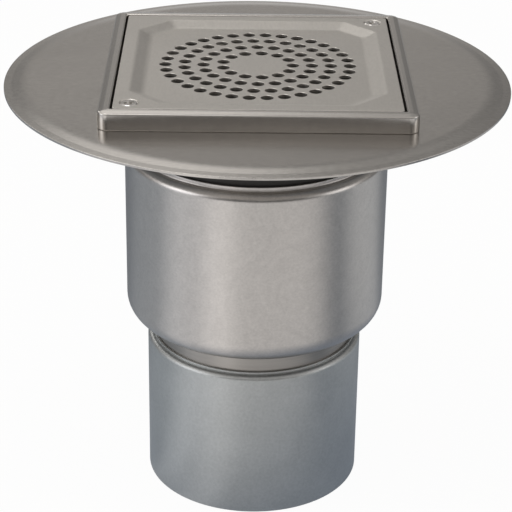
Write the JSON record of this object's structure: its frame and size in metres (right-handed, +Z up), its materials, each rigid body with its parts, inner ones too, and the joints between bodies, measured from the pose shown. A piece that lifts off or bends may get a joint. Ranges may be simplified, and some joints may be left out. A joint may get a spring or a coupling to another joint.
{
  "type": "floor drain",
  "caption": "Stainless floor drain: square tile frame with a dished perforated grate, round membrane flange, bell-trap body and vertical outlet pipe.",
  "frame": {"origin": "centre of the outlet pipe's open end, on which the part stands", "axes": "+Z up along the pipe's axis to the grate; -Y is the side seen in the picture; +X to its right"},
  "size_m": [0.2465, 0.2464, 0.2254],
  "materials": {
    "shell_stainless": "satin",
    "grate_stainless": "satin",
    "fastener_stainless": "polished",
    "trap_stainless": "satin",
    "seal_rubber": "matte"
  },
  "bodies": {
    "root": {"outlet_pipe": "shell_stainless", "outlet_neck": "shell_stainless", "trap_body": "shell_stainless", "neck_tube": "shell_stainless", "flange": "shell_stainless", "frame": "grate_stainless", "grate": "grate_stainless", "grate_screws": "fastener_stainless", "weld_nuts": "fastener_stainless", "standpipe": "trap_stainless", "bell": "trap_stainless", "bell_spacers": "trap_stainless", "bell_handle": "trap_stainless", "neck_seal": "seal_rubber", "standpipe_seal": "seal_rubber"}
  },
  "joints": []
}
